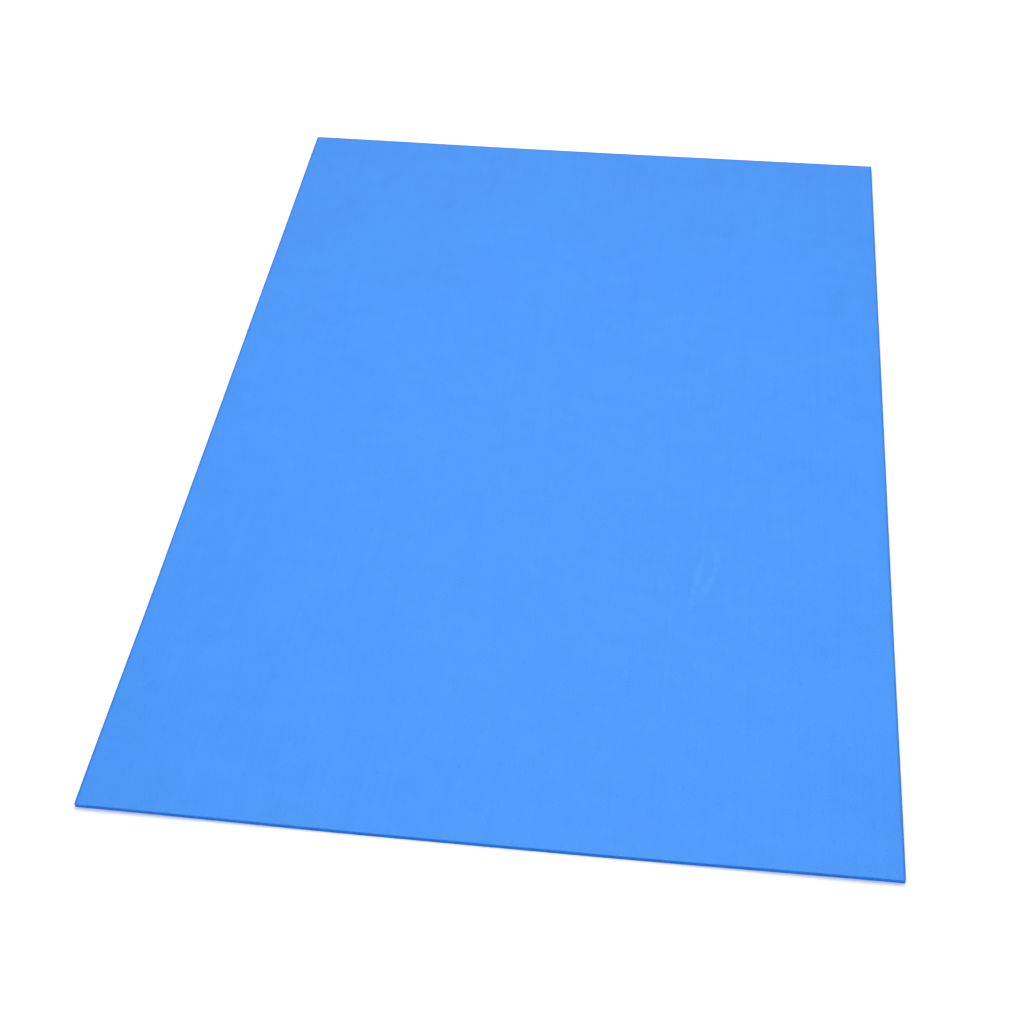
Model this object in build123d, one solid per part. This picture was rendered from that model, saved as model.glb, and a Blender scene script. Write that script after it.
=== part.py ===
from build123d import *
import os

# Craft foam sheet: one rectangle of soft closed-cell foam, split to thickness and cut with a knife.
# It lies flat. The origin is the middle of the face that it lies on, with +X across the sheet,
# +Y along it and +Z up. All sizes are in millimetres.

# Format of the sheet
sheet_width = 300.0
sheet_length = 450.0
sheet_thickness = 2.0

# Section that the knife leaves on every cut side.
# The blade first drags the upper face down, and that leaves a soft roll-over along the top.
roll_over_reach = 0.45
roll_over_drop = 0.22
# The foam is squeezed flat under the blade and springs back, so the cut face is slightly hollow.
waist_depth = 0.07
# The blade leaves the lower face clean, and only a fine arris is left there.
exit_radius = 0.08

# Waste that the cross cuts take off each end of a strip
trim_margin = 5.0


def knife_section(span):
    """Closed section through the sheet between two opposite cut sides, span apart, standing on z = 0."""
    half_span = span / 2
    lip_height = sheet_thickness - roll_over_drop
    waist_height = (exit_radius + lip_height) / 2
    with BuildSketch() as section:
        with BuildLine():
            Line((0, 0), (half_span - exit_radius, 0))
            CenterArc((half_span - exit_radius, exit_radius), exit_radius, -90, 90)
            ThreePointArc(
                (half_span, exit_radius),
                (half_span - waist_depth, waist_height),
                (half_span, lip_height),
            )
            EllipticalCenterArc(
                (half_span - roll_over_reach, lip_height), roll_over_reach, roll_over_drop, arc_size=90
            )
            Line((half_span - roll_over_reach, sheet_thickness), (0, sheet_thickness))
            mirror(about=Plane.YZ)
        make_face()
    return section.sketch


def strip_between_strokes(span, run, section_plane):
    """Strip of foam between two parallel knife strokes, with waste left on for the cross cuts."""
    strip_length = run + 2 * trim_margin
    strip_start = section_plane.offset(-strip_length / 2)
    return extrude(strip_start * knife_section(span), strip_length)


# The two long strokes and the two cross strokes share one section, so it mitres at each corner.
side_cuts = strip_between_strokes(sheet_width, sheet_length, Plane.XZ)
end_cuts = strip_between_strokes(sheet_length, sheet_width, Plane.YZ)
foam_sheet = (side_cuts & end_cuts).solid()
foam_sheet.label = "foam_sheet"

os.makedirs("parts", exist_ok=True)
export_step(foam_sheet, "parts/foam_sheet.step")
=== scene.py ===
"""Craft foam sheet, dressed and lit.

One rectangle of soft closed-cell foam lies flat on a pale floor. It was split from a block to its
thickness and cut with a knife, so it has two finishes: the split face, matte and finely pored, and the
cut face round its edge, a little deeper in colour, with opened cells and the knife's own drag lines.
"""

import logging
import math
from dataclasses import dataclass, field
from enum import IntEnum

import bmesh
import bpy
from mathutils import Matrix, Vector, noise


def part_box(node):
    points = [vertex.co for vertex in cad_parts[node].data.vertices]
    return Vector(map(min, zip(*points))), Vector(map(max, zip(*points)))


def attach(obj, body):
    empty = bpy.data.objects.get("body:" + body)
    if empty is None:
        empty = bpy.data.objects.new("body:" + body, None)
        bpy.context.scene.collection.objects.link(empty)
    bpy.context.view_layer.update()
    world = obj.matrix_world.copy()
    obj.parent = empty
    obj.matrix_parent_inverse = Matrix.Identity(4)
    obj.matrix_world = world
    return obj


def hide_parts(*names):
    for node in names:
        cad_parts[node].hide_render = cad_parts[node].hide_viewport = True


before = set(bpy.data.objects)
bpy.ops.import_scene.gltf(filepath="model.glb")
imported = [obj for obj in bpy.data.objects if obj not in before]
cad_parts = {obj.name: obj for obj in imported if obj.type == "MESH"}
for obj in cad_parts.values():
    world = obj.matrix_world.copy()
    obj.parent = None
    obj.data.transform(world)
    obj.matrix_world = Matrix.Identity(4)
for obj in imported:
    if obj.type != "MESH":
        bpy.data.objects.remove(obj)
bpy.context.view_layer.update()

log = logging.getLogger("foam_sheet")

NODE = "foam_sheet"
BODY = "root"
MM = 0.001

Tree = bpy.types.NodeTree
Socket = bpy.types.NodeSocket
# a finish's tone from deep to pale, its roughness, and its height in millimetres
PatternSockets = tuple[Socket, Socket, Socket]

# tone halfway from deep to pale
TONE_MIDDLE = 0.5
# middle value of a noise texture
NOISE_MIDDLE = 0.5
# scale in millimetres that makes a mask the same through the whole thickness
ANY_HEIGHT = 1000.0
# Map Range settings that go softly from 1 down to 0
FADE = {"interpolation_type": "SMOOTHSTEP", "From Min": 0.0, "To Min": 1.0, "To Max": 0.0}


def linear_colour(code: str) -> tuple[float, float, float, float]:
    """Turns an sRGB hex colour into linear light.

    Args:
        code: Colour as "#RRGGBB".

    Returns:
        Red, green, blue and an alpha of 1, in linear light.
    """
    channels = [int(code[place:place + 2], 16) / 255 for place in (1, 3, 5)]
    linear = [c / 12.92 if c <= 0.04045 else ((c + 0.055) / 1.055) ** 2.4 for c in channels]
    return (*linear, 1.0)


def add_node(
    tree: Tree, kind: str, settings: dict | None = None, links: dict | None = None
) -> bpy.types.Node:
    """Adds one node and wires it up.

    Args:
        tree: Tree that gets the node.
        kind: Blender's name for the kind of node.
        settings: Values by name, of the node's own options or of its input sockets. A number names a
            socket by its place.
        links: Output sockets by the name or place of the input socket that they feed.

    Returns:
        The new node.
    """
    node = tree.nodes.new(kind)
    for name, value in (settings or {}).items():
        if isinstance(name, str) and hasattr(node, name):
            setattr(node, name, value)
        else:
            node.inputs[name].default_value = value
    for name, socket in (links or {}).items():
        tree.links.new(socket, node.inputs[name])
    return node


def layered(tree: Tree, base: float, layers: list[tuple[Socket, float, float]]) -> Socket:
    """Adds layers of pattern up into one number.

    Args:
        tree: Tree that gets the nodes.
        base: Value where every layer is at its own middle.
        layers: For each layer its socket, its middle value and how much it counts. One that doesn't
            count gets no node.

    Returns:
        Socket with base plus each layer's departure from its middle, times how much it counts.
    """
    total = None
    start = base - sum(middle * share for _, middle, share in layers)
    for socket, _, share in layers:
        if share == 0.0:
            continue
        node = add_node(tree, "ShaderNodeMath", {
            "operation": "MULTIPLY_ADD", 1: share, 2: start,
        }, {0: socket})
        if total is not None:
            tree.links.new(total, node.inputs[2])
        total = node.outputs[0]
    return total


class Finish(IntEnum):
    """Which finish a face of the sheet has, as the place of its material on the object."""

    SPLIT = 0
    CUT = 1


@dataclass(frozen=True)
class Weight:
    """How much one layer of pattern counts in a finish.

    The middle is the layer's own usual value. The others say what a departure of 1 from it adds to the
    tone, to the roughness, and to the height in millimetres.
    """

    middle: float = 0.0
    tone: float = 0.0
    rough: float = 0.0
    height: float = 0.0


@dataclass(frozen=True)
class LoopScuff:
    """Faint, open loop that something soft rubbed into the upper face. Sizes are in millimetres."""

    centre: tuple[float, float] = (73.2, -79.5)
    half_width: float = 3.2
    half_length: float = 17.8
    lean_deg: float = -6.0
    bow: float = 2.0
    line: float = 1.8
    slant: float = 0.4
    open_from: float = 0.45
    open_to: float = 0.75
    # along its line the loop comes and goes in patches of this size, and never fades below this share
    patch: float = 5.0
    patch_from: float = 0.35
    patch_to: float = 0.6
    faintest: float = 0.35

    def mask(self, tree: Tree, place: Socket) -> Socket:
        """Makes the loop's mask.

        Args:
            tree: Tree that gets the nodes.
            place: Position in millimetres.

        Returns:
            Socket that is 1 along the loop and 0 away from it and across its open end.
        """
        local = add_node(tree, "ShaderNodeMapping", {
            "vector_type": "TEXTURE",
            "Location": (*self.centre, 0.0),
            "Rotation": (0.0, 0.0, math.radians(self.lean_deg)),
            "Scale": (self.half_width, self.half_length, 1.0),
        }, {"Vector": place})
        across, along, _ = add_node(tree, "ShaderNodeSeparateXYZ", {}, {0: local.outputs[0]}).outputs
        # halfway along, the loop bows out to its right
        bow = self.bow / self.half_width
        from_middle = add_node(tree, "ShaderNodeMath", {"operation": "MULTIPLY"}, {0: along, 1: along})
        bowed = add_node(tree, "ShaderNodeMath", {
            "operation": "MULTIPLY_ADD", 1: bow, 2: -bow,
        }, {0: from_middle.outputs[0]})
        opened = add_node(tree, "ShaderNodeMath", {
            "operation": "ADD",
        }, {0: across, 1: bowed.outputs[0]})
        flat = add_node(tree, "ShaderNodeCombineXYZ", {}, {"X": opened.outputs[0], "Y": along})
        radius = add_node(tree, "ShaderNodeVectorMath", {"operation": "LENGTH"}, {0: flat.outputs[0]})
        off_line = add_node(tree, "ShaderNodeMath", {
            "operation": "SUBTRACT", 1: 1.0,
        }, {0: radius.outputs["Value"]})
        distance = add_node(tree, "ShaderNodeMath", {"operation": "ABSOLUTE"}, {0: off_line.outputs[0]})
        line = add_node(tree, "ShaderNodeMapRange", {
            **FADE, "From Max": self.line / self.half_width,
        }, {"Value": distance.outputs[0]})
        # the loop's right side runs on further than its left one before it fades
        reach = add_node(tree, "ShaderNodeMath", {
            "operation": "MULTIPLY_ADD", 1: -self.slant,
        }, {0: opened.outputs[0], 2: along})
        shut = add_node(tree, "ShaderNodeMapRange", {
            **FADE, "From Min": self.open_from, "From Max": self.open_to,
        }, {"Value": reach.outputs[0]})
        breaks = add_node(tree, "ShaderNodeTexNoise", {
            "noise_dimensions": "2D", "Scale": 1 / self.patch, "Detail": 1.0,
        }, {"Vector": place})
        kept = add_node(tree, "ShaderNodeMapRange", {
            "From Min": self.patch_from, "From Max": self.patch_to,
            "To Min": self.faintest, "To Max": 1.0,
        }, {"Value": breaks.outputs[0]})
        left_open = add_node(tree, "ShaderNodeMath", {"operation": "MULTIPLY"}, {
            0: line.outputs["Result"], 1: shut.outputs["Result"],
        })
        return add_node(tree, "ShaderNodeMath", {"operation": "MULTIPLY"}, {
            0: left_open.outputs[0], 1: kept.outputs["Result"],
        }).outputs[0]


@dataclass(frozen=True)
class Stroke:
    """Short, soft mark on the upper face: a long oval that fades from its middle. Sizes in millimetres."""

    centre: tuple[float, float]
    half_width: float
    half_length: float
    lean_deg: float

    def mask(self, tree: Tree, place: Socket) -> Socket:
        """Makes the stroke's mask.

        Args:
            tree: Tree that gets the nodes.
            place: Position in millimetres.

        Returns:
            Socket that is 1 in the middle of the stroke and 0 outside it.
        """
        local = add_node(tree, "ShaderNodeMapping", {
            "vector_type": "TEXTURE",
            "Location": (*self.centre, 0.0),
            "Rotation": (0.0, 0.0, math.radians(self.lean_deg)),
            "Scale": (self.half_width, self.half_length, ANY_HEIGHT),
        }, {"Vector": place})
        radius = add_node(tree, "ShaderNodeVectorMath", {"operation": "LENGTH"}, {0: local.outputs[0]})
        return add_node(tree, "ShaderNodeMapRange", {
            **FADE, "From Max": 1.0,
        }, {"Value": radius.outputs["Value"]}).outputs["Result"]


@dataclass(frozen=True)
class FoamFinish:
    """What every face of the foam shares: a matte, closed-cell foam that is coloured right through.

    Colours are sRGB hex. Sizes are in millimetres. The IOR is the one usual for EVA.
    """

    name: str
    deep: str
    pale: str
    roughness: float
    specular: float = 0.5
    ior: float = 1.48

    def place_mm(self, tree: Tree) -> Socket:
        """Position on the piece in millimetres, as a socket."""
        metres = add_node(tree, "ShaderNodeTexCoord").outputs["Object"]
        return add_node(tree, "ShaderNodeVectorMath", {
            "operation": "SCALE", "Scale": 1 / MM,
        }, {0: metres}).outputs[0]

    def material(self) -> bpy.types.Material:
        """Makes the material, with its pattern.

        Returns:
            The new material.
        """
        material = bpy.data.materials.new(self.name)
        material.use_nodes = True
        tree = material.node_tree
        tree.nodes.clear()
        tone, rough, height = self.pattern(tree, self.place_mm(tree))
        # the painted shade in the pores and along the rim goes past the deep colour, so the mix runs on
        # below its own start, and only a colour past black or white is stopped
        colour = add_node(tree, "ShaderNodeMix", {
            "data_type": "RGBA", "clamp_factor": False, "clamp_result": True,
            6: linear_colour(self.deep), 7: linear_colour(self.pale),
        }, {0: tone})
        bump = add_node(tree, "ShaderNodeBump", {"Strength": 1.0, "Distance": MM}, {"Height": height})
        shader = add_node(tree, "ShaderNodeBsdfPrincipled", {
            "Specular IOR Level": self.specular, "IOR": self.ior,
        }, {"Base Color": colour.outputs[2], "Roughness": rough, "Normal": bump.outputs[0]})
        add_node(tree, "ShaderNodeOutputMaterial", {}, {"Surface": shader.outputs[0]})
        return material

    def pattern(self, tree: Tree, place: Socket) -> PatternSockets:
        """Tone from deep to pale, roughness, and height in millimetres, as sockets."""
        raise NotImplementedError

    def mixed(self, tree: Tree, layers: list[tuple[Socket, Weight]]) -> PatternSockets:
        """Adds layers of pattern up into the finish's tone, roughness and height.

        Args:
            tree: Tree that gets the nodes.
            layers: Each layer's socket and how much it counts.

        Returns:
            Tone from deep to pale, roughness, and height in millimetres, as sockets.
        """
        tone = [(socket, weight.middle, weight.tone) for socket, weight in layers]
        rough = [(socket, weight.middle, weight.rough) for socket, weight in layers]
        height = [(socket, weight.middle, weight.height) for socket, weight in layers]
        return (
            layered(tree, TONE_MIDDLE, tone),
            layered(tree, self.roughness, rough),
            layered(tree, 0.0, height),
        )


@dataclass(frozen=True)
class SplitFace(FoamFinish):
    """Face that the splitting knife left: even and matte, finely pored, with very faint lines.

    The foam is closed-cell EVA, split from a block by a band knife. To the eye it is one flat, soft colour
    from edge to edge, with no gloss of its own beyond a weak sheen towards the light.
    """

    # The foam's colour and firmness drift a little through the block, in clouds and in smaller patches.
    cloud: float = 42.0
    cloud_weight: Weight = Weight(middle=NOISE_MIDDLE, tone=0.6, rough=0.12)
    patch: float = 9.0
    patch_weight: Weight = Weight(middle=NOISE_MIDDLE, tone=0.35, height=0.06)
    # The real cells are about 0.15 mm across, too fine to show. They are drawn four times as coarse.
    cell: float = 0.6
    # the hollows between the cells are sunk and darkened with painted shade
    cell_shade_and_depth_weight: Weight = Weight(middle=0.45, tone=-0.6, height=-0.055)
    # Here and there one bubble was larger and the knife left it open; painted shade darkens the open
    # bubble.
    # Most are far below the largest radius.
    pore_pitch: float = 6.0
    pore_radius: float = 0.42
    pore_shade_and_depth_weight: Weight = Weight(tone=-2.4, height=-0.08)
    # The knife's lines are as close as its grind, about 0.4 mm. They are drawn four times as far apart.
    line_pitch: float = 1.6
    line_run: float = 140.0
    line_weight: Weight = Weight(middle=NOISE_MIDDLE, tone=0.2, height=0.02)
    # painted shade on the outermost strip of the long sides and far end, where the edge turns from the
    # lamps
    rim_shade_width: float = 1.3
    rim_shade_weight: Weight = Weight(tone=-2.2)
    scuff: LoopScuff = LoopScuff()
    scuff_weight: Weight = Weight(tone=0.5, rough=-0.08, height=-0.03)
    strokes: tuple[Stroke, ...] = (
        Stroke(centre=(2.6, -86.5), half_width=1.6, half_length=8.0, lean_deg=23.0),
        Stroke(centre=(56.5, -91.0), half_width=1.8, half_length=7.5, lean_deg=15.0),
    )
    stroke_weight: Weight = Weight(tone=0.25)
    half_size: tuple[float, float] = (150.0, 225.0)
    # The lower face was split off at another height in the block, so its cells and pores lie elsewhere.
    lower_shift: tuple[float, float] = (367.0, 241.0)

    def pattern(self, tree: Tree, place: Socket) -> PatternSockets:
        """Makes the split face's pattern.

        Args:
            tree: Tree that gets the nodes.
            place: Position in millimetres.

        Returns:
            Tone from deep to pale, roughness, and height in millimetres, as sockets.
        """
        facing = add_node(tree, "ShaderNodeTexCoord").outputs["Normal"]
        up = add_node(tree, "ShaderNodeSeparateXYZ", {}, {0: facing}).outputs["Z"]
        upper = add_node(tree, "ShaderNodeMath", {"operation": "GREATER_THAN", 1: 0.0}, {0: up})
        lower = add_node(tree, "ShaderNodeMath", {"operation": "LESS_THAN", 1: 0.0}, {0: up})
        # painted shade along the edges that turn away from the lamps
        rim = self.painted_rim_shade(tree, place)
        scuff, *strokes = (
            add_node(tree, "ShaderNodeMath", {
                "operation": "MULTIPLY",
            }, {0: mark.mask(tree, place), 1: upper.outputs[0]}).outputs[0]
            for mark in (self.scuff, *self.strokes)
        )
        shift = add_node(tree, "ShaderNodeVectorMath", {
            "operation": "SCALE", 0: (*self.lower_shift, 0.0),
        }, {"Scale": lower.outputs[0]})
        place = add_node(tree, "ShaderNodeVectorMath", {
            "operation": "ADD",
        }, {0: place, 1: shift.outputs[0]}).outputs[0]
        cloud = add_node(tree, "ShaderNodeTexNoise", {
            "noise_dimensions": "2D", "Scale": 1 / self.cloud, "Detail": 2.0,
        }, {"Vector": place})
        patch = add_node(tree, "ShaderNodeTexNoise", {
            "noise_dimensions": "2D", "Scale": 1 / self.patch, "Detail": 2.0,
        }, {"Vector": place})
        cell = add_node(tree, "ShaderNodeTexVoronoi", {
            "voronoi_dimensions": "2D", "Scale": 1 / self.cell,
        }, {"Vector": place})
        pore_near = add_node(tree, "ShaderNodeTexVoronoi", {
            "voronoi_dimensions": "2D", "Scale": 1 / self.pore_pitch,
        }, {"Vector": place})
        chance = add_node(tree, "ShaderNodeSeparateColor", {}, {0: pore_near.outputs["Color"]}).outputs
        smaller = add_node(tree, "ShaderNodeMath", {
            "operation": "MULTIPLY",
        }, {0: chance[0], 1: chance[1]})
        radius = add_node(tree, "ShaderNodeMath", {
            "operation": "MULTIPLY", 1: self.pore_radius / self.pore_pitch,
        }, {0: smaller.outputs[0]})
        pore = add_node(tree, "ShaderNodeMapRange", FADE, {
            "Value": pore_near.outputs["Distance"], "From Max": radius.outputs[0],
        })
        travel = add_node(tree, "ShaderNodeMapping", {
            "Scale": (1 / self.line_pitch, 1 / self.line_run, 1.0),
        }, {"Vector": place})
        lines = add_node(tree, "ShaderNodeTexNoise", {
            "noise_dimensions": "2D", "Scale": 1.0, "Detail": 1.0,
        }, {"Vector": travel.outputs[0]})
        return self.mixed(tree, [
            (cloud.outputs[0], self.cloud_weight),
            (patch.outputs[0], self.patch_weight),
            (cell.outputs["Distance"], self.cell_shade_and_depth_weight),
            (lines.outputs[0], self.line_weight),
            (pore.outputs["Result"], self.pore_shade_and_depth_weight),
            (scuff, self.scuff_weight),
            (rim, self.rim_shade_weight),
            *((stroke, self.stroke_weight) for stroke in strokes),
        ])

    def painted_rim_shade(self, tree: Tree, place: Socket) -> Socket:
        """Makes the mask of painted shade on the outermost strip, where the rounded edge turns from the
        lamps.

        It runs along the two long sides and the far end. The near end faces the lamps and has none.

        Args:
            tree: Tree that gets the nodes.
            place: Position in millimetres.

        Returns:
            Socket that is 1 at the outline and 0 from the rim's width inwards.
        """
        across, along, _ = add_node(tree, "ShaderNodeSeparateXYZ", {}, {0: place}).outputs
        off_middle = add_node(tree, "ShaderNodeMath", {"operation": "ABSOLUTE"}, {0: across})
        half_width, half_length = self.half_size
        from_side = add_node(tree, "ShaderNodeMath", {
            "operation": "SUBTRACT", 0: half_width,
        }, {1: off_middle.outputs[0]})
        from_far_end = add_node(tree, "ShaderNodeMath", {
            "operation": "SUBTRACT", 0: half_length,
        }, {1: along})
        nearest = add_node(tree, "ShaderNodeMath", {
            "operation": "MINIMUM",
        }, {0: from_side.outputs[0], 1: from_far_end.outputs[0]})
        return add_node(tree, "ShaderNodeMapRange", {
            **FADE, "From Max": self.rim_shade_width,
        }, {"Value": nearest.outputs[0]}).outputs["Result"]


@dataclass(frozen=True)
class CutFace(FoamFinish):
    """Face that the cutting knife left round the edge: opened cells, deeper colour, upright drag lines.

    It is the same closed-cell EVA, cut across in one stroke. The opened cells swallow half of the gloss,
    and the shade that they hold is painted into a deeper colour, so the face looks deeper and still more
    matte than the split face.
    """

    specular: float = 0.25
    # The opened cells are about 0.15 mm across. They are drawn more than twice as coarse, so as to show.
    cell: float = 0.36
    # painted shade darkens the opened cells where they are sunk
    cell_shade_and_depth_weight: Weight = Weight(middle=0.5, tone=-0.8, height=-0.09)
    mottle: float = 6.0
    mottle_weight: Weight = Weight(middle=NOISE_MIDDLE, tone=0.7)
    # The nicks in the blade leave lines about 0.2 mm apart. They are drawn more than three times as far
    # apart.
    drag_pitch: float = 0.7
    drag_run: float = 9.0
    drag_weight: Weight = Weight(middle=NOISE_MIDDLE, tone=1.1, rough=0.15, height=0.12)

    def pattern(self, tree: Tree, place: Socket) -> PatternSockets:
        """Makes the cut face's pattern.

        Args:
            tree: Tree that gets the nodes.
            place: Position in millimetres.

        Returns:
            Tone from deep to pale, roughness, and height in millimetres, as sockets.
        """
        cell = add_node(tree, "ShaderNodeTexVoronoi", {"Scale": 1 / self.cell}, {"Vector": place})
        mottle = add_node(tree, "ShaderNodeTexNoise", {
            "Scale": 1 / self.mottle, "Detail": 1.0,
        }, {"Vector": place})
        upright = add_node(tree, "ShaderNodeMapping", {
            "Scale": (1 / self.drag_pitch, 1 / self.drag_pitch, 1 / self.drag_run),
        }, {"Vector": place})
        drag = add_node(tree, "ShaderNodeTexNoise", {
            "Scale": 1.0, "Detail": 1.0,
        }, {"Vector": upright.outputs[0]})
        return self.mixed(tree, [
            (cell.outputs["Distance"], self.cell_shade_and_depth_weight),
            (mottle.outputs[0], self.mottle_weight),
            (drag.outputs[0], self.drag_weight),
        ])


@dataclass(frozen=True)
class KnifeEdge:
    """Section that the knife leaves round the sheet, from the upper face down, in millimetres."""

    hold: float = 0.15
    roll_over_reach: float = 0.45
    roll_over_drop: float = 0.22
    roll_over_steps: int = 5
    waist_depth: float = 0.07
    waist_steps: int = 6
    exit_radius: float = 0.08
    exit_steps: int = 2
    corner_radius: float = 0.3
    corner_steps: int = 3

    def inset(self) -> float:
        """How far in from the outline the flat upper face ends, with the strip that holds it flat."""
        return self.roll_over_reach + self.hold

    def rings(self, thickness: float) -> list[tuple[float, float, Finish]]:
        """Works out the rings of the section.

        Args:
            thickness: The sheet's thickness in millimetres.

        Returns:
            For each ring how far in from the outline it lies, its height, and the finish of the band
            that leads down to it.
        """
        lip = thickness - self.roll_over_drop
        rings = [(self.roll_over_reach, thickness, Finish.SPLIT)]
        for step in range(1, self.roll_over_steps + 1):
            angle = math.pi / 2 * step / self.roll_over_steps
            inwards = self.roll_over_reach * (1 - math.sin(angle))
            rings.append((inwards, lip + self.roll_over_drop * math.cos(angle), Finish.SPLIT))
        for step in range(1, self.waist_steps + 1):
            share = step / self.waist_steps
            hollow = 4 * self.waist_depth * share * (1 - share)
            rings.append((hollow, lip + (self.exit_radius - lip) * share, Finish.CUT))
        for step in range(1, self.exit_steps + 1):
            angle = math.pi / 2 * step / self.exit_steps
            inwards = self.exit_radius * (1 - math.cos(angle))
            rings.append((inwards, self.exit_radius * (1 - math.sin(angle)), Finish.CUT))
        return rings


@dataclass(frozen=True)
class Lift:
    """Place where the soft sheet, which has been in store, rises off the floor a little.

    Sizes are in millimetres.
    """

    at: tuple[float, float]
    reach: float
    height: float

    def rise(self, x: float, y: float) -> float:
        """Rise in millimetres at a point given in millimetres."""
        nearness = max(0.0, 1.0 - math.dist((x, y), self.at) / self.reach)
        return self.height * nearness * nearness * (3.0 - 2.0 * nearness)


@dataclass
class FoamSheet:
    """The sheet itself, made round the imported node's box. Sizes are in millimetres."""

    low: Vector = field(default_factory=lambda: Vector(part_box(NODE)[0]) / MM)
    high: Vector = field(default_factory=lambda: Vector(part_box(NODE)[1]) / MM)
    edge: KnifeEdge = field(default_factory=KnifeEdge)
    grid_pitch: float = 3.0
    corner_slack: float = 1.01
    lifts: tuple[Lift, ...] = (
        Lift(at=(-150.0, -225.0), reach=120.0, height=1.20),
        Lift(at=(150.0, -225.0), reach=120.0, height=1.20),
        Lift(at=(150.0, 225.0), reach=150.0, height=0.50),
        Lift(at=(-150.0, 225.0), reach=110.0, height=0.35),
        Lift(at=(150.0, 30.0), reach=90.0, height=0.20),
        Lift(at=(-150.0, 70.0), reach=80.0, height=0.20),
    )
    wave_pitch: float = 70.0
    wave_height: float = 0.05
    split: SplitFace = field(default_factory=lambda: SplitFace(
        name="split_eva_foam", deep="#308AED", pale="#4198FA", roughness=0.62,
    ))
    # the cut face's deeper colours hold painted shade for its opened cells
    cut: CutFace = field(default_factory=lambda: CutFace(
        name="knife_cut_eva_foam", deep="#0C6ADA", pale="#1A85FA", roughness=0.75,
    ))

    @property
    def size(self) -> Vector:
        """Width, length and thickness."""
        return self.high - self.low

    def build(self) -> bpy.types.Object:
        """Returns:
            The finished piece.
        """
        shape = bmesh.new()
        upper = self.upper_face(shape)
        last_ring = self.edge_rings(shape)
        self.lower_face(shape, upper, last_ring)
        self.soften_corners(shape)
        self.settle(shape)
        bmesh.ops.recalc_face_normals(shape, faces=shape.faces)
        self.put_in_order(shape)
        mesh = bpy.data.meshes.new("flat_foam")
        shape.to_mesh(mesh)
        shape.free()
        mesh.shade_smooth()
        piece = bpy.data.objects.new("flat_foam", mesh)
        bpy.context.scene.collection.objects.link(piece)
        for finish in (self.split, self.cut):
            mesh.materials.append(finish.material())
        self.declare(piece)
        return piece

    def outline_scale(self, inwards: float) -> Matrix:
        """Scale that takes a unit square to the outline, drawn in by a distance and in metres."""
        across, along = (self.size.x - 2 * inwards) * MM, (self.size.y - 2 * inwards) * MM
        return Matrix.Diagonal((across, along, 1.0, 1.0))

    def upper_face(self, shape: bmesh.types.BMesh) -> list[bmesh.types.BMFace]:
        """Makes the flat upper face.

        Args:
            shape: Mesh that gets the face.

        Returns:
            Its faces.
        """
        grid = bmesh.ops.create_grid(
            shape,
            x_segments=round(self.size.x / self.grid_pitch),
            y_segments=round(self.size.y / self.grid_pitch),
            size=0.5,
            matrix=Matrix.Translation((0, 0, self.high.z * MM)) @ self.outline_scale(self.edge.inset()),
        )
        faces = list(dict.fromkeys(face for vert in grid["verts"] for face in vert.link_faces))
        for face in faces:
            face.material_index = Finish.SPLIT
        return faces

    def edge_rings(self, shape: bmesh.types.BMesh) -> list[bmesh.types.BMEdge]:
        """Draws the knife's section down round the upper face.

        Args:
            shape: Mesh with the upper face alone.

        Returns:
            Edges of the last ring, at the foot of the section.
        """
        ring = [edge for edge in shape.edges if edge.is_boundary]
        inwards, height = self.edge.inset(), self.size.z
        for next_inwards, next_height, finish in self.edge.rings(self.size.z):
            band = bmesh.ops.extrude_edge_only(shape, edges=ring)["geom"]
            verts = [part for part in band if isinstance(part, bmesh.types.BMVert)]
            ring = [part for part in band if isinstance(part, bmesh.types.BMEdge) and part.is_boundary]
            for face in (part for part in band if isinstance(part, bmesh.types.BMFace)):
                face.material_index = finish
            step = self.outline_scale(next_inwards) @ self.outline_scale(inwards).inverted()
            bmesh.ops.transform(shape, matrix=step, verts=verts)
            bmesh.ops.translate(shape, vec=(0, 0, (next_height - height) * MM), verts=verts)
            inwards, height = next_inwards, next_height
        return ring

    def lower_face(
        self,
        shape: bmesh.types.BMesh,
        upper: list[bmesh.types.BMFace],
        last_ring: list[bmesh.types.BMEdge],
    ) -> None:
        """Closes the sheet underneath.

        Args:
            shape: Mesh with the upper face and the section.
            upper: Faces of the upper face.
            last_ring: Edges of the ring at the foot of the section.
        """
        copied = bmesh.ops.duplicate(shape, geom=upper)["geom"]
        faces = [part for part in copied if isinstance(part, bmesh.types.BMFace)]
        verts = list(dict.fromkeys(vert for face in faces for vert in face.verts))
        bmesh.ops.reverse_faces(shape, faces=faces)
        inset = self.edge.exit_radius + self.edge.hold
        step = self.outline_scale(inset) @ self.outline_scale(self.edge.inset()).inverted()
        bmesh.ops.transform(shape, matrix=step, verts=verts)
        bmesh.ops.translate(shape, vec=(0, 0, -self.size.z * MM), verts=verts)
        rim = [edge for face in faces for edge in face.edges if edge.is_boundary]
        bridge = bmesh.ops.bridge_loops(shape, edges=last_ring + rim)
        for face in bridge["faces"]:
            face.material_index = Finish.SPLIT

    def soften_corners(self, shape: bmesh.types.BMesh) -> None:
        """Rounds the four upright corners, which soft foam can't keep sharp.

        Args:
            shape: The closed sheet.
        """
        # the inset with a little slack, so that the corner point of the flat face counts as well
        near = self.edge.inset() * self.corner_slack
        inner_x, inner_y = (self.size.x / 2 - near) * MM, (self.size.y / 2 - near) * MM
        upright = [
            edge for edge in shape.edges
            if all(abs(vert.co.x) > inner_x and abs(vert.co.y) > inner_y for vert in edge.verts)
        ]
        bmesh.ops.bevel(
            shape, geom=upright, offset=self.edge.corner_radius * MM, offset_type="OFFSET",
            segments=self.edge.corner_steps, profile=0.5, affect="EDGES", clamp_overlap=True,
            material=-1,
        )

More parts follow.
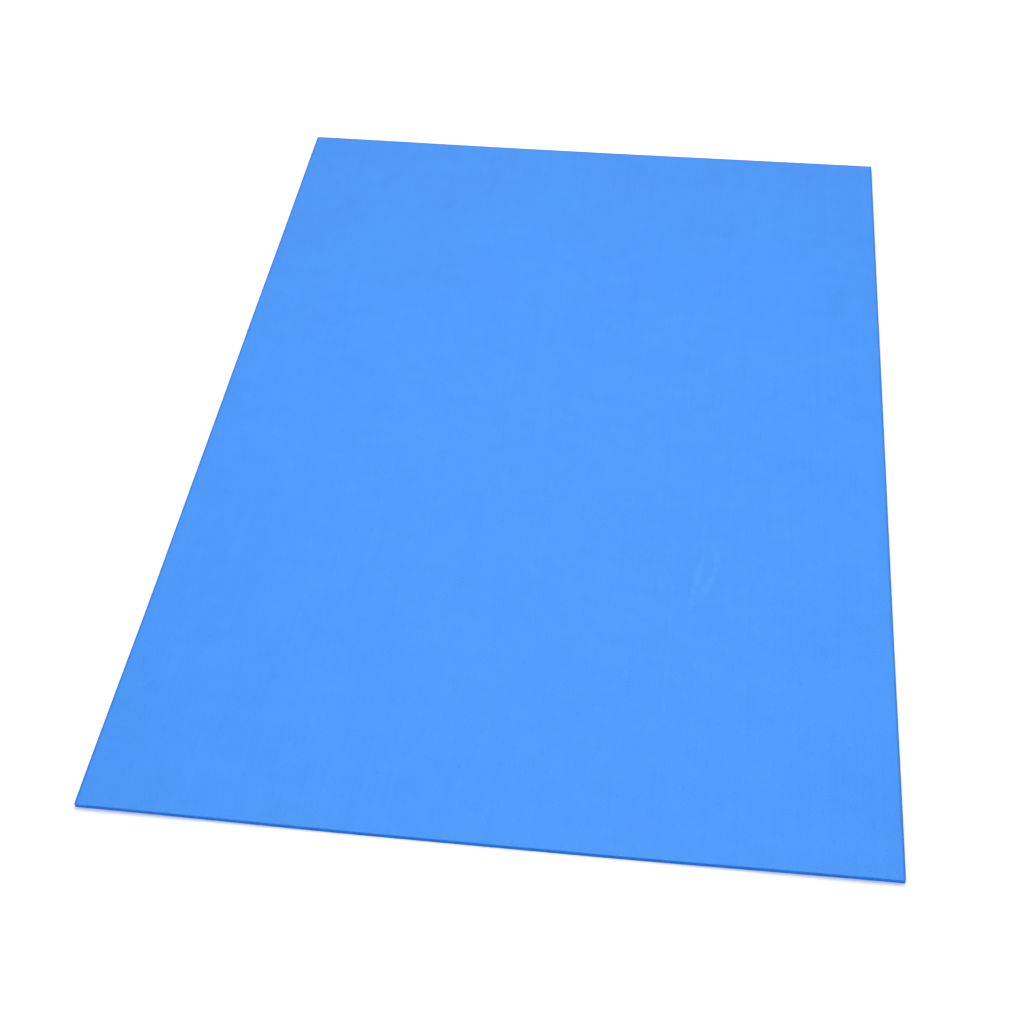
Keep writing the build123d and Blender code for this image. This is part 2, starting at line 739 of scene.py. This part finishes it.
    def settle(self, shape: bmesh.types.BMesh) -> None:
        """Lets the flat sheet take up the slight rise and waviness of one that has been in store.

        Args:
            shape: The closed, flat sheet.
        """
        for vert in shape.verts:
            x, y, z = vert.co / MM
            upper_share = z / self.size.z
            waviness = noise.noise(Vector((x, y, 0.0)) / self.wave_pitch)
            rise = sum(lift.rise(x, y) for lift in self.lifts)
            vert.co.z = max(0.0, z + rise + upper_share * self.wave_height * waviness) * MM

    def put_in_order(self, shape: bmesh.types.BMesh) -> None:
        """Numbers points and faces by their place, because the operators' own order isn't always the same.

        Args:
            shape: The finished shape.
        """
        points = sorted(shape.verts, key=lambda vert: tuple(vert.co))
        faces = sorted(shape.faces, key=lambda face: tuple(face.calc_center_median()))
        for parts, sequence in ((points, shape.verts), (faces, shape.faces)):
            for index, part in enumerate(parts):
                part.index = index
            sequence.sort()

    def declare(self, piece: bpy.types.Object) -> None:
        """Hangs the piece on the body that carries it and hides the imported part that it takes the place
        of.

        Args:
            piece: The finished piece.
        """
        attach(piece, BODY)
        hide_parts(NODE)


@dataclass(frozen=True)
class Softbox:
    """Soft lamp over the sheet: its name, its place and panel in metres, and its power in watts."""

    name: str
    place: tuple[float, float, float]
    panel: tuple[float, float]
    power: float


@dataclass
class Studio:
    """Pale floor, white surroundings and soft lamps. Sizes are in metres."""

    floor_size: float = 12.0
    floor_colour: str = "#F4F4F4"
    # glow that the floor shows on top of its paint, from its middle out to near, and from far outwards
    near_glow: float = 0.30
    far_glow: float = 0.72
    near: float = 0.4
    far: float = 1.0
    sky: float = 0.42
    lamps: tuple[Softbox, ...] = (
        Softbox("overhead_softbox", place=(0.035, -0.06, 0.70), panel=(0.5, 0.5), power=2.9),
        Softbox("far_softbox", place=(-0.10, 0.75, 0.65), panel=(0.7, 0.5), power=1.25),
        Softbox("near_softbox", place=(0.10, -1.40, 0.55), panel=(0.8, 0.5), power=3.1),
    )
    aim: tuple[float, float, float] = (0.03, -0.02, 0.0)

    def build(self) -> None:
        """Builds the floor, the surroundings and the lamps."""
        self.build_floor()
        self.build_sky()
        for lamp in self.lamps:
            self.build_lamp(lamp)

    def build_floor(self) -> None:
        """Builds the floor, which the camera sees as white apart from the sheet's shadow."""
        shape = bmesh.new()
        bmesh.ops.create_grid(shape, x_segments=1, y_segments=1, size=self.floor_size / 2)
        mesh = bpy.data.meshes.new("floor")
        shape.to_mesh(mesh)
        shape.free()
        floor = bpy.data.objects.new("floor", mesh)
        bpy.context.scene.collection.objects.link(floor)
        material = bpy.data.materials.new("matte_white_paint")
        material.use_nodes = True
        tree = material.node_tree
        tree.nodes.clear()
        paint = add_node(tree, "ShaderNodeBsdfDiffuse", {"Color": linear_colour(self.floor_colour)})
        seen = self.seen_directly(tree)
        # far from the lamps the paint gets less light, and its glow makes up for that
        place = add_node(tree, "ShaderNodeTexCoord").outputs["Object"]
        away = add_node(tree, "ShaderNodeVectorMath", {"operation": "LENGTH"}, {0: place})
        needed = add_node(tree, "ShaderNodeMapRange", {
            "interpolation_type": "SMOOTHSTEP", "From Min": self.near, "From Max": self.far,
            "To Min": self.near_glow, "To Max": self.far_glow,
        }, {"Value": away.outputs["Value"]})
        strength = add_node(tree, "ShaderNodeMath", {"operation": "MULTIPLY"}, {
            0: seen, 1: needed.outputs["Result"],
        })
        glow = add_node(tree, "ShaderNodeEmission", {
            "Color": linear_colour("#FFFFFF"),
        }, {"Strength": strength.outputs[0]})
        both = add_node(tree, "ShaderNodeAddShader", {}, {0: paint.outputs[0], 1: glow.outputs[0]})
        add_node(tree, "ShaderNodeOutputMaterial", {}, {"Surface": both.outputs[0]})
        mesh.materials.append(material)

    def seen_directly(self, tree: Tree) -> Socket:
        """Mask of the rays that show the surroundings themselves: seen, mirrored or looked through.

        Args:
            tree: Tree that gets the nodes.

        Returns:
            Socket that is 1 for such rays and 0 for those that carry light.
        """
        rays = add_node(tree, "ShaderNodeLightPath").outputs
        mirrored = add_node(tree, "ShaderNodeMath", {"operation": "MAXIMUM"}, {
            0: rays["Is Camera Ray"], 1: rays["Is Glossy Ray"],
        })
        return add_node(tree, "ShaderNodeMath", {"operation": "MAXIMUM"}, {
            0: mirrored.outputs[0], 1: rays["Is Transmission Ray"],
        }).outputs[0]

    def build_sky(self) -> None:
        """Builds the surroundings, white to look at and softer as a light."""
        world = bpy.data.worlds.new("white_surroundings")
        world.use_nodes = True
        tree = world.node_tree
        tree.nodes.clear()
        strength = add_node(tree, "ShaderNodeMapRange", {
            "From Min": 0.0, "From Max": 1.0, "To Min": self.sky, "To Max": 1.0,
        }, {"Value": self.seen_directly(tree)})
        light = add_node(tree, "ShaderNodeBackground", {
            "Color": linear_colour("#FFFFFF"),
        }, {"Strength": strength.outputs["Result"]})
        add_node(tree, "ShaderNodeOutputWorld", {}, {"Surface": light.outputs[0]})
        bpy.context.scene.world = world

    def build_lamp(self, softbox: Softbox) -> None:
        """Builds one softbox that points at the sheet.

        Args:
            softbox: The lamp's name, place, panel and power.
        """
        light = bpy.data.lights.new(softbox.name, "AREA")
        light.shape = "RECTANGLE"
        light.size, light.size_y = softbox.panel
        light.energy = softbox.power
        lamp = bpy.data.objects.new(softbox.name, light)
        towards = Vector(self.aim) - Vector(softbox.place)
        turn = towards.to_track_quat("-Z", "Y").to_matrix().to_4x4()
        lamp.matrix_world = Matrix.Translation(softbox.place) @ turn
        bpy.context.scene.collection.objects.link(lamp)


@dataclass
class Viewpoint:
    """Camera that sees the sheet as it is seen from the front right of a bench. Sizes are in metres."""

    eye: tuple[float, float, float] = (0.0616, -0.5833, 0.5233)
    aim: tuple[float, float, float] = (-0.0090, -0.0556, 0.0020)
    roll_deg: float = -1.116
    focal_px: float = 1744.4
    picture_px: float = 1024.0
    sensor_mm: float = 36.0

    def build(self) -> bpy.types.Object:
        """Builds the camera and makes it the scene's own.

        Returns:
            The camera.
        """
        lens = bpy.data.cameras.new("bench_view")
        lens.sensor_width = self.sensor_mm
        lens.lens = self.focal_px * self.sensor_mm / self.picture_px
        camera = bpy.data.objects.new("bench_view", lens)
        towards = Vector(self.aim) - Vector(self.eye)
        level = towards.to_track_quat("-Z", "Y").to_matrix().to_4x4()
        roll = Matrix.Rotation(math.radians(self.roll_deg), 4, "Z")
        camera.matrix_world = Matrix.Translation(self.eye) @ level @ roll
        bpy.context.scene.collection.objects.link(camera)
        bpy.context.scene.camera = camera
        return camera


def main() -> None:
    """Builds the sheet, the studio and the camera."""
    logging.basicConfig(level=logging.INFO, format="%(name)s: %(message)s")
    bpy.context.scene.view_settings.view_transform = "Standard"
    sheet = FoamSheet().build()
    log.info("%s: %d faces", sheet.name, len(sheet.data.polygons))
    Studio().build()
    log.info("studio: floor, surroundings and lamps")
    camera = Viewpoint().build()
    log.info("%s: lens %.1f mm", camera.name, camera.data.lens)


if __name__ == "__main__":
    main()
